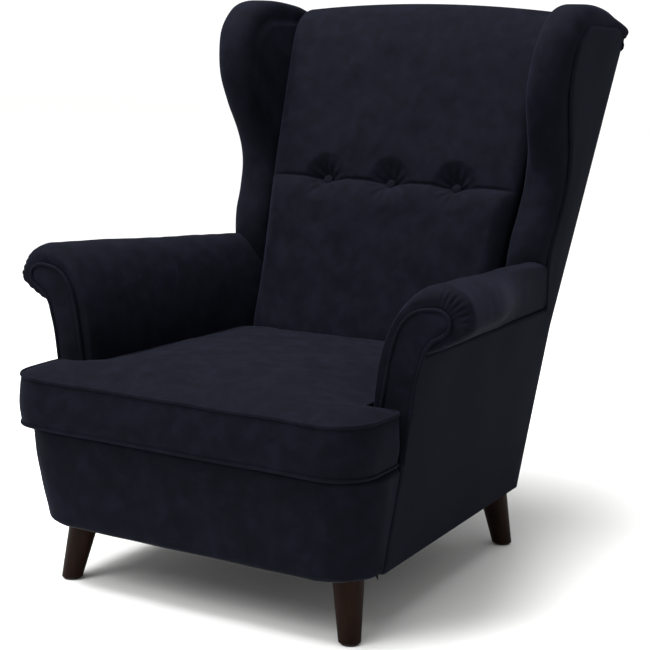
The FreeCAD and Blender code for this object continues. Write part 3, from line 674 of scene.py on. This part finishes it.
def makeArm(side, sign):
    nose, depth = armFront - 0.003, arm["noseDepth"]
    share = 1 - np.cos(np.linspace(0, np.pi / 2, 14))
    inset = arm["noseInset"] * (1 - np.sqrt(np.clip(1 - (1 - share) ** 2, 0, 1)))
    rest = nose + depth + (arm["rearEnd"] - nose - depth) * np.linspace(0, 1, 120)[1:] ** 1.3
    inset = np.concatenate([inset, 0 * rest])
    y = np.concatenate([nose + depth * share, rest])
    x, z, turn = armProfile(y, inset * 0.30, inset)
    behind = np.broadcast_to(y[:, None], x.shape) - nose
    grid = np.stack([sign * x, np.minimum(y[:, None], rearY(z, 0.012)), z], axis=-1)
    # gathered folds round the outer half of the roll, fading out behind the facing
    folds = np.abs(np.cos((turn - arm["foldsFrom"]) / arm["foldsSpan"] * arm["folds"] * np.pi)) - 0.5
    fade = np.exp(-np.maximum(behind - 0.006, 0) / arm["gatherRun"]) * smoothStep(behind, -0.001, 0.002)
    fade = fade * smoothStep(turn, -65, -45) * (1 - smoothStep(turn, 75, 100))
    centreX, centreZ, radius = armRoll(y[:, None])
    outward = np.stack([sign * (x - centreX), 0 * x, z - centreZ], axis=-1)
    outward /= np.maximum(np.linalg.norm(outward, axis=-1, keepdims=True), 1e-6)
    above = smoothStep(z, 0.40, 0.46)
    slack = above * (0.0008 * softNoise(grid, 0.17, 21 + sign) + 0.0003 * softNoise(grid, 0.05, 23 + sign))
    curl = np.sqrt(np.clip(behind / depth, 0, 1))[..., None]
    outward = outward * curl + np.array([0, -1.0, 0]) * np.sqrt(1 - curl ** 2)
    lift = arm["gather"] * folds * fade + slack * smoothStep(behind, 0.0, 0.01)
    grid = grid + outward * lift[..., None]
    calm = (1 - above)[..., None] * softNoise(grid, 0.12, 25 + sign)[..., None] * 0.0008
    grid = grid - calm * np.array([sign, 0.0, 0.0])
    piece = closedTube("arm" + side, grid)
    finishPiece(piece, ["arm_cover_" + side.lower(), "arm_foam_" + side.lower()])


facing = {"crown": 0.004, "piping": 0.003, "thickness": 0.006}


def facingEdges(count):
    # inner edge and outer edge of the scroll facing, each from the deck up to the crest of the scroll
    low = deckHeight + 0.002
    apex = (0.373, 0.5390)
    inner = [(0.289, low), (0.2915, 0.330), (0.297, 0.378), (0.304, 0.425), (0.3110, 0.465),
             (0.3210, 0.498), (0.3355, 0.521), (0.353, 0.534), apex]
    outer = [(sideX(facingFront, low), low), (sideX(facingFront, 0.340), 0.340), (0.3500, 0.385),
             (0.3560, 0.425), (0.3635, 0.454), (0.370, 0.475), (0.381, 0.4895), (0.396, 0.499),
             (0.4065, 0.508), (0.4100, 0.520), (0.4050, 0.532), (0.391, 0.5395), apex]
    return smoothCurve(inner, count), smoothCurve(outer, count)


def makeFacing(side, sign):
    inner, outer = facingEdges(90)
    s = np.linspace(0, 1, 26)[:, None, None]
    flat = inner[None] + s * (outer - inner)[None]
    rim = np.vstack([inner, outer[::-1]])
    edge = distanceTo(flat, rim)
    swell = facing["crown"] * (1 - np.exp(-edge / 0.008))
    grid = np.stack([sign * flat[..., 0], facingFront + 0.004 - swell, flat[..., 1]], axis=-1)
    grid[..., 1] += 0.0005 * softNoise(grid, 0.05, 31 + sign)
    piece = sheetPiece("facing" + side, grid, facing["thickness"], (0, -1, 0))
    finishPiece(piece, ["arm_facing_" + side.lower()])
    path = np.column_stack([sign * rim[:, 0], np.full(len(rim), facingFront + 0.0025), rim[:, 1]])
    path = resample(path, 260)
    cord = pipedEdge("facingPiping" + side, path, facing["piping"], (0, 1, 0))
    finishPiece(cord, ["arm_facing_" + side.lower()])


for sideName, sideSign in sides:
    makeArm(sideName, sideSign)
    makeFacing(sideName, sideSign)
print("arms and facings made")


wing = {"nose": 0.040, "noseTaper": 0.65, "lap": 0.004, "outerInset": 0.0075, "cap": 0.011, "foot": 0.44}


def wingEdge(count):
    # front and top edge of a wing in y and z, from inside the arm to the rear corner
    points = [(0.222, 0.440), (0.206, 0.500), (0.199, 0.545), (0.208, 0.595), (0.230, 0.645),
              (0.242, 0.693), (0.233, 0.742), (0.208, 0.795), (0.189, 0.850), (0.188, 0.900),
              (0.198, 0.943), (0.220, 0.975),
              (0.255, 0.999), (0.300, wingTop), (0.355, wingTop - 0.002), (0.410, 0.998), (0.450, 0.986),
              (0.479, 0.976), (0.497, 0.968), (0.5025, 0.957), (rearTopY + 0.016, rearTopZ + 0.001)]
    return smoothCurve(points, count)


def inwardNormals(edge):
    tangent = np.gradient(edge, axis=0)
    tangent /= np.linalg.norm(tangent, axis=1, keepdims=True)
    return np.stack([tangent[:, 1], -tangent[:, 0]], axis=1)


def noseDepth(count):
    # depth of the rolled edge, thinner towards the rear corner
    return wing["nose"] * (1 - wing["noseTaper"] * smoothStep(np.linspace(0, 1, count), 0.80, 1.0))


def makeWing(side, sign):
    count = 220
    edge = wingEdge(count)
    normal = inwardNormals(edge)
    z = np.linspace(wing["foot"], rearTopZ + 0.003, count)
    rear = np.stack([rearY(z, 0.003), z], axis=1)
    boxy = smoothStep(np.linspace(0, 1, count), 0.62, 0.80)[:, None]
    thickness = sideLine["wingThickness"]
    depth = noseDepth(count)[:, None]

    def place(x, w, far):
        # far runs from the rolled edge to the rear line
        flat = edge[:, None, :] + normal[:, None, :] * w[..., None]
        flat = flat + (rear[:, None, :] - flat) * far[..., None]
        return np.stack([x, flat[..., 0], flat[..., 1]], axis=-1)

    ones = np.ones((count, 1))
    phi = np.linspace(0, np.pi, 40)[None, :]
    middle = sideX(edge[:, 0], edge[:, 1])[:, None]
    # the folded corner at the rear stands a little proud of the side panel
    proud = wing["cap"] * smoothStep(np.linspace(0, 1, count), 0.88, 0.97)[:, None]
    outerX, innerX = middle - wing["outerInset"] + proud, middle - thickness
    half = (outerX - innerX) / 2
    across = np.sign(np.cos(phi)) * np.abs(np.cos(phi)) ** (1 - 0.72 * boxy)
    inwards = depth * (1 - np.sin(phi) ** (0.8 - 0.1 * boxy))
    rolled = place(innerX + half + half * across, inwards, np.zeros_like(inwards))
    far = np.linspace(0, 1, 26)[None, 1:] * ones
    inner = place(innerX + 0 * far, depth + 0 * far, far)
    inner[..., 0] = sideX(inner[..., 1], inner[..., 2], thickness) - 0.004 * np.sin(np.pi * far)
    back = far[:, ::-1][:, ::4]
    outer = place(outerX + 0 * back, depth + 0 * back, back)
    outer[..., 0] = sideX(outer[..., 1], outer[..., 2], 0.011)
    lap = place((outerX - 0.002) * ones, depth + 0.006, np.zeros((count, 1)))
    grid = np.concatenate([lap, rolled, inner, outer], axis=1) * np.array([sign, 1.0, 1.0])
    loose = np.concatenate([0 * ones, np.sin(phi / 2) * ones, 1 + 0 * far, 0 * back], axis=1)
    wave = loose * (softNoise(grid, 0.16, 41 + sign) * 0.0013 + softNoise(grid, 0.06, 43 + sign) * 0.0005)
    grid[..., 0] -= sign * wave
    grid[..., 1] += wave * 0.6
    piece = closedTube("wing" + side, grid)
    finishPiece(piece, ["wing_cover_" + side.lower(), "wing_foam_" + side.lower()])


panel = {"crown": 0.003, "thickness": 0.004, "turnIn": 0.0035, "topStart": 0.70, "samples": 500,
         "footFront": 0.035, "footRear": 0.040}


def seamLine(count):
    # the wing's outer seam: the panel laps a little over the rolled edge
    edge = wingEdge(count)
    return edge + inwardNormals(edge) * (noseDepth(count) - wing["lap"])[:, None]


def eased(count):
    # even steps that close up towards both ends
    t = np.linspace(0, 1, count)
    return 0.45 * t + 0.55 * (0.5 - 0.5 * np.cos(np.pi * t))


def gridBetween(left, right, low, high, across, up):
    # Coons patch: four edges blended, less the blend of the corners
    a, b = across[None, :, None], up[:, None, None]
    sides = left[:, None, :] * (1 - a) + right[:, None, :] * a
    ends = low[None] * (1 - b) + high[None] * b
    lowCorners = (1 - b) * ((1 - a) * left[0] + a * right[0])
    highCorners = b * ((1 - a) * left[-1] + a * right[-1])
    return sides + ends - lowCorners - highCorners


def along(line, shares):
    steps = np.linalg.norm(np.diff(line, axis=0), axis=1)
    length = np.concatenate([[0], np.cumsum(steps)])
    return np.stack([np.interp(shares * length[-1], length, line[:, k]) for k in range(2)], axis=1)


def neckHeight(y):
    # where the side panel meets the underside of the arm's roll
    centreZ, radius = armRoll(y)[1:]
    return centreZ + radius - arm["neckDrop"] * radius / armLine["rollFront"] + 0.002


def makePanel(side, sign):
    # three joined grids: under the arm in front, behind that to the rear line, and up beside the wing
    seam = seamLine(panel["samples"])
    start = int(np.argmax(seam[:, 1] > neckHeight(seam[:, 0])))
    top = int(panel["samples"] * panel["topStart"])
    cornerY, cornerZ = seam[start]
    foot, toe = rearLine["bottomY"] - panel["footRear"], armFront - panel["footFront"]
    rows, high = eased(70), eased(110)
    front, rearPart = eased(70), eased(50)
    lowFront = np.stack([toe + (foot - toe) * front, underBase + 0 * front], axis=1)
    topY = armFront + (cornerY - armFront) * front
    topFront = np.stack([topY, neckHeight(topY)], axis=1)
    topFront[-1] = cornerY, cornerZ
    frontEdge = np.stack([0 * rows, underBase + rows * (topFront[0, 1] - underBase)], axis=1)
    frontLean = [-panel["footFront"], -0.002, 0.0]
    frontEdge[:, 0] = armFront + np.interp(frontEdge[:, 1], [underBase, 0.375, 0.45], frontLean)
    split = np.stack([foot + rows * (cornerY - foot), underBase + rows * (cornerZ - underBase)], axis=1)
    first = gridBetween(frontEdge, split, lowFront, topFront, front, rows)
    rearLow = np.stack([rearY(split[:, 1]), split[:, 1]], axis=1)
    lowRear = split[0] + rearPart[:, None] * (rearLow[0] - split[0])
    midRear = split[-1] + rearPart[:, None] * (rearLow[-1] - split[-1])
    second = gridBetween(split, rearLow, lowRear, midRear, rearPart, rows)
    left = along(seam[start:top], high)
    rearZ = cornerZ + high * (rearTopZ - 0.004 - cornerZ)
    rearHigh = np.stack([rearY(rearZ), rearZ], axis=1)
    topLine = along(np.vstack([seam[top - 1:-20], rearHigh[-1:]]), rearPart)
    third = gridBetween(left, rearHigh, midRear, topLine, rearPart, high)
    grids = [first, second, third]
    offsets = np.cumsum([0] + [g.shape[0] * g.shape[1] for g in grids])
    faces = []
    for patch, offset in zip(grids, offsets):
        faces += (np.array(gridFaces(*patch.shape[:2])) + offset).tolist()
    flat = np.vstack([g.reshape(-1, 2) for g in grids])
    sewn = [frontEdge, topFront, left, topLine]
    rim = np.vstack(sewn + [rearHigh[::-1], rearLow[::-1], lowRear[::-1], lowFront[::-1]])
    gap = distanceTo(flat, resample(rim, 1200))
    seams = distanceTo(flat, resample(np.vstack(sewn), 900))
    x = sideX(flat[:, 0], flat[:, 1]) + panel["crown"] * (1 - np.exp(-gap / 0.05))
    x -= panel["turnIn"] * np.exp(-(seams / 0.003) ** 2)
    vertices = np.stack([x, flat[:, 0], flat[:, 1]], axis=1)
    vertices[:, 0] += 0.0007 * softNoise(vertices, 0.18, 51 + sign) * smoothStep(gap, 0, 0.03)
    vertices[:, 0] *= sign
    piece = meshObject("sidePanel" + side, vertices, faces)
    tidyMesh(piece)
    if normalArray(piece)[:, 0].mean() * sign < 0:
        piece.data.flip_normals()
    thicken(piece, panel["thickness"])
    finishPiece(piece, ["side_panel_" + side.lower()])


for sideName, sideSign in sides:
    makeWing(sideName, sideSign)
    makePanel(sideName, sideSign)
print("wings and side panels made")


back = {"footY": 0.134, "bendZ": 0.378, "seamY": 0.243, "seamZ": 0.667, "crest": 1.007,
        "drop": 0.019, "sideGap": 0.003, "round": 0.020, "spacing": 0.140, "lowerBulge": 0.016,
        "upperBulge": 0.010, "button": 0.0100, "buttonDome": 0.0045, "buttonSink": 0.014,
        "hollow": 0.027, "hollowReach": 0.048, "pit": 0.022, "pitReach": 0.015, "pleat": 0.0016}


def seamHeight(x):
    # the seam arches between the buttons
    return back["seamZ"] + 0.0045 * np.abs(np.sin(np.pi * x / back["spacing"])) - 0.002


def faceRelief(x, z):
    # how far the padding stands forward of the face line
    seam = seamHeight(x)
    below, above = np.maximum(seam - z, 0), np.maximum(z - seam, 0)
    lower = back["lowerBulge"] * (1 - np.exp(-below / 0.016)) * (1 - smoothStep(below, 0.12, 0.36) * 0.8)
    upper = back["upperBulge"] * (1 - np.exp(-above / 0.060)) * (1 - smoothStep(above, 0.20, 0.34) * 0.5)
    relief = np.where(z < seam, lower, upper) - 0.0035 * np.exp(-((z - seam) / 0.0030) ** 2)
    for index in (-1, 0, 1):
        dx, dz = x - index * back["spacing"], z - back["seamZ"]
        r = np.hypot(dx, dz)
        angle = np.arctan2(dz, dx)
        hollow = back["hollow"] * np.clip(1 - r / back["hollowReach"], 0, 1) ** 1.2
        narrow = back["pit"] * np.exp(-(r / back["pitReach"]) ** 1.4)
        pit = np.where(dz > 0, hollow, np.maximum(narrow, hollow * 0.5))
        rays = np.cos(angle * 10 + index) * np.exp(-((r - 0.022) / 0.014) ** 2) * back["pleat"]
        relief = relief - pit + rays
    return relief


def makeBack():
    rows, columns = 410, 180
    s = np.sin(np.linspace(-np.pi / 2, np.pi / 2, columns)) * 0.35 + np.linspace(-1, 1, columns) * 0.65
    t = np.linspace(0, 1, rows)
    # side view of the back's middle line, from the deck up over the crest to the rear edge
    points = [(back["footY"], deckHeight + 0.002), (back["footY"], 0.335), (back["footY"] + 0.002, 0.380),
              (0.176, 0.475), (0.210, 0.570), (back["seamY"], back["seamZ"]), (0.283, 0.770),
              (0.322, 0.870), (0.350, 0.940), (0.366, 0.975), (0.385, 0.996), (0.412, back["crest"]),
              (0.440, 1.000), (0.462, 0.978), (rearTopY - 0.004, rearTopZ + 0.004)]
    profile = smoothCurve(points, rows)
    y0, z0 = profile[:, 0], profile[:, 1]
    tangent = np.gradient(profile, axis=0)
    tangent /= np.linalg.norm(tangent, axis=1, keepdims=True)
    outY, outZ = -tangent[:, 1], tangent[:, 0]
    width = sideX(y0, z0, sideLine["wingThickness"] + back["sideGap"])
    x = s[None, :] * width[:, None]
    gap = (1 - np.abs(s))[None, :] * width[:, None]
    corner = back["round"]
    fallen = corner - np.sqrt(np.clip(corner ** 2 - np.clip(corner - gap, 0, corner) ** 2, 0, None))
    crownDrop = back["drop"] * (x / 0.32) ** 2 * smoothStep(z0, 0.90, 1.0)[:, None]
    calm = smoothStep(gap, 0.0, 0.03)
    z = np.broadcast_to(z0[:, None], x.shape)
    onFace = (smoothStep(t, 0.02, 0.08) * (1 - smoothStep(z0, 0.93, 0.98)))[:, None]
    relief = faceRelief(x, z) * calm * onFace - fallen
    raisedY, raisedZ = y0[:, None] + outY[:, None] * relief, z0[:, None] + outZ[:, None] * relief
    points = np.stack([x, raisedY, raisedZ - crownDrop], axis=-1)
    lying = softNoise(points, 0.20, 61) * 0.0018 + softNoise(points, 0.07, 62) * 0.0007
    points[..., 1] -= lying * calm
    # the hidden rear face, coarser than the front
    deepest = points[..., 1].max(axis=1, keepdims=True) + 0.045
    insideY = np.minimum(deepest, rearY(z0, 0.006)[:, None]) + 0 * x
    rearPoints = np.stack([x * 0.985, insideY, z - 0.004 - crownDrop], axis=-1)[:, ::-4]
    grid = np.concatenate([points, rearPoints], axis=1)
    piece = closedTube("backCushion", grid)
    finishPiece(piece, ["back_foam", "back_cover_upper", "back_cover_lower"])


def makeButtons():
    # covered buttons: a dome turned about the face's normal, with the cloth gathered under its rim
    rake = math.atan2(back["seamY"] - back["footY"], back["seamZ"] - back["bendZ"])
    normal = np.array([0, -math.cos(rake), math.sin(rake)])
    level = np.array([1.0, 0, 0])
    upward = np.cross(normal, level)
    t = np.linspace(0, 1, 18)
    radius = back["button"] * np.concatenate([np.sin(t * np.pi / 2), [0.93, 0.80]])
    height = np.concatenate([back["buttonDome"] * np.cos(t * np.pi / 2), [-0.0022, -0.0034]])
    angle = np.linspace(0, 2 * np.pi, 48, endpoint=False)
    for index in range(3):
        seat = np.array([(index - 1) * back["spacing"], back["seamY"], back["seamZ"]])
        seat = seat - normal * back["buttonSink"]
        ring = np.cos(angle)[:, None] * level + np.sin(angle)[:, None] * upward
        nearRim = smoothStep(radius / back["button"], 0.9, 1.0)[:, None, None]
        crimp = 1 + 0.02 * np.cos(angle * 16)[None, :, None] * nearRim
        grid = seat + radius[1:, None, None] * crimp[1:] * ring[None] + height[1:, None, None] * normal
        piece = closedTube("backButton%d" % (index + 1), grid)
        finishPiece(piece, ["back_button_%d" % (index + 1)])


makeBack()
makeButtons()
print("back cushion and buttons made")


apron = {"frontY": -0.430, "lean": 0.115, "corner": 0.083, "bulge": 0.0035, "round": 0.008,
         "seamFoot": -0.345, "seamHead": -0.323, "thickness": 0.010}


def apronLoop(z, seamY, count):
    # the base's plan at each height, from the right seam round the front to the left seam
    z, seamY = z[:, None], seamY[:, None]
    front = apron["frontY"] - apron["lean"] * (z - underBase)
    corner = apron["corner"]
    cornerX = sideX(front + corner, z) - corner
    a = np.linspace(0, 1, count // 8)[None, :]
    sideYs = seamY + (front + corner - seamY) * a
    sideXs = sideX(sideYs, z)
    turn = np.linspace(0, np.pi / 2, count // 6)[None, 1:]
    arcX = cornerX + corner * np.cos(turn)
    arcY = front + corner - corner * np.sin(turn)
    half = np.linspace(1, 0, count // 4)[None, 1:]
    frontX = cornerX * half
    x = np.concatenate([sideXs, arcX, frontX], axis=1)
    y = np.concatenate([sideYs, arcY, front + 0 * frontX], axis=1)
    x = np.concatenate([x, -x[:, -2::-1]], axis=1)
    y = np.concatenate([y, y[:, -2::-1]], axis=1)
    return np.stack([x, y, z + 0 * x], axis=-1)


def makeApron():
    v = np.linspace(0, 1, 64)
    z = underBase + v * (deckHeight - underBase)
    seam = apron["seamFoot"] + v * (apron["seamHead"] - apron["seamFoot"])
    grid = apronLoop(z, seam, 320)
    tangent = np.gradient(grid, axis=1)
    normal = np.cross(tangent, [0, 0, 1.0])
    normal /= np.linalg.norm(normal, axis=-1, keepdims=True)
    if (normal[0, grid.shape[1] // 2] @ np.array([0, -1.0, 0])) < 0:
        normal = -normal
    gapLow = z - underBase
    tuck = np.clip(1 - gapLow / apron["round"], 0, 1) ** 2 * apron["round"] * 0.8
    tuckTop = np.clip(1 - (deckHeight - z) / 0.012, 0, 1) ** 2 * 0.010
    rightGap, leftGap = (np.linalg.norm(grid - end, axis=-1) for end in (grid[:, :1], grid[:, -1:]))
    seamGap = np.minimum(rightGap, leftGap)
    turnIn = 0.003 * np.exp(-(seamGap / 0.0028) ** 2)
    swell = apron["bulge"] * np.sin(np.pi * v)[:, None] * smoothStep(seamGap, 0, 0.05)
    slack = 0.0010 * softNoise(grid, 0.16, 71) + 0.0004 * softNoise(grid, 0.05, 72)
    lift = swell + slack * smoothStep(seamGap, 0, 0.03) - tuck[:, None] - tuckTop[:, None] - turnIn
    grid = grid + normal * lift[..., None]
    piece = sheetPiece("apron", grid, apron["thickness"], (0, -1, 0))
    finishPiece(piece, ["apron_cover", "apron_padding"])


outside = {"crown": 0.003, "turnIn": 0.0015, "thickness": 0.004}


def makeOutsideBack():
    s, t = np.linspace(-1, 1, 110), np.linspace(0, 1, 150)
    z = underBase + t * (rearTopZ - underBase)
    y = rearY(z)
    half = sideX(y, z, 0.0005)
    x = s[None, :] * half[:, None]
    endGap = np.minimum(z - underBase, rearTopZ - z)[:, None]
    edge = np.minimum((1 - np.abs(s))[None, :] * half[:, None], endGap)
    swell = outside["crown"] * (1 - np.exp(-edge / 0.06)) - outside["turnIn"] * np.exp(-(edge / 0.003) ** 2)
    grid = np.stack([x, y[:, None] + 0 * x, z[:, None] + 0 * x], axis=-1)
    grid[..., 1] += swell - 0.0008 + 0.0008 * softNoise(grid, 0.2, 75)
    piece = sheetPiece("outsideBack", grid, outside["thickness"], (0, 1, 0))
    finishPiece(piece, ["outside_back"])


deck = {"front": -0.440, "step": -0.326, "rear": 0.190, "corner": 0.090, "sunk": 0.0030, "stitchY": -0.300,
        "stitchDepth": 0.0015, "thickness": 0.003}


def makeDeck():
    # cover cloth over the springs: wide in front of the arms, narrow between them, stitched across
    y = np.concatenate([np.linspace(deck["front"], deck["step"], 30),
                        np.linspace(deck["step"] + 0.0005, deck["rear"], 80)])
    wide = np.where(y <= deck["step"], sideX(y, deckHeight, 0.016), seatHalf(y) - 0.003)
    bend = np.clip(deck["front"] + deck["corner"] - 0.001 - y, 0, deck["corner"] - 0.0005)
    wide = wide - (deck["corner"] - np.sqrt(deck["corner"] ** 2 - bend ** 2))
    x = np.linspace(-1, 1, 90)[None, :] * wide[:, None]
    stitch = deck["stitchDepth"] * np.exp(-((y[:, None] - deck["stitchY"]) / 0.003) ** 2)
    grid = np.stack([x, y[:, None] + 0 * x, deckHeight - 0.0025 - stitch + 0 * x], axis=-1)
    grid[..., 2] += 0.0005 * softNoise(grid, 0.09, 81) + 0.0025 - deck["sunk"]
    piece = sheetPiece("seatDeck", grid, deck["thickness"], (0, 0, 1))
    finishPiece(piece, ["seat_deck_cloth", "seat_deck_pad"], slot="cover_cloth")


lining = {"sag": 0.006, "thickness": 0.0012, "turned": 0.001}


def makeDustCover():
    # black lining stapled under the base: flat at its turned edge, sagging a little between the rails
    low, high = (np.array(corner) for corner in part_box("dust_cover"))
    y = np.linspace(low[1] + lining["turned"], high[1] - lining["turned"], 90)
    corner = apron["corner"]
    bend = np.clip(low[1] + corner - y, 0, corner - lining["turned"])
    fallen = corner - np.sqrt(corner ** 2 - bend ** 2)
    half = np.minimum(high[0], sideX(y, underBase, 0.006)) - fallen - 0.004
    s = np.linspace(-1, 1, 90)
    x = s[None, :] * half[:, None]
    deep = np.sin(np.pi * (s + 1) / 2)[None, :] * np.sin(np.pi * np.linspace(0, 1, len(y)))[:, None]
    z = low[2] + lining["thickness"] - lining["sag"] * deep ** 0.6
    grid = np.stack([x, y[:, None] + 0 * x, z], axis=-1)
    grid[..., 2] += 0.0004 * softNoise(grid, 0.10, 91)
    piece = sheetPiece("dustCover", grid, lining["thickness"], (0, 0, -1))
    finishPiece(piece, ["dust_cover"], slot="lining_cloth")


makeApron()
makeOutsideBack()
makeDeck()
makeDustCover()
print("apron, outside back, deck and dust cover made")
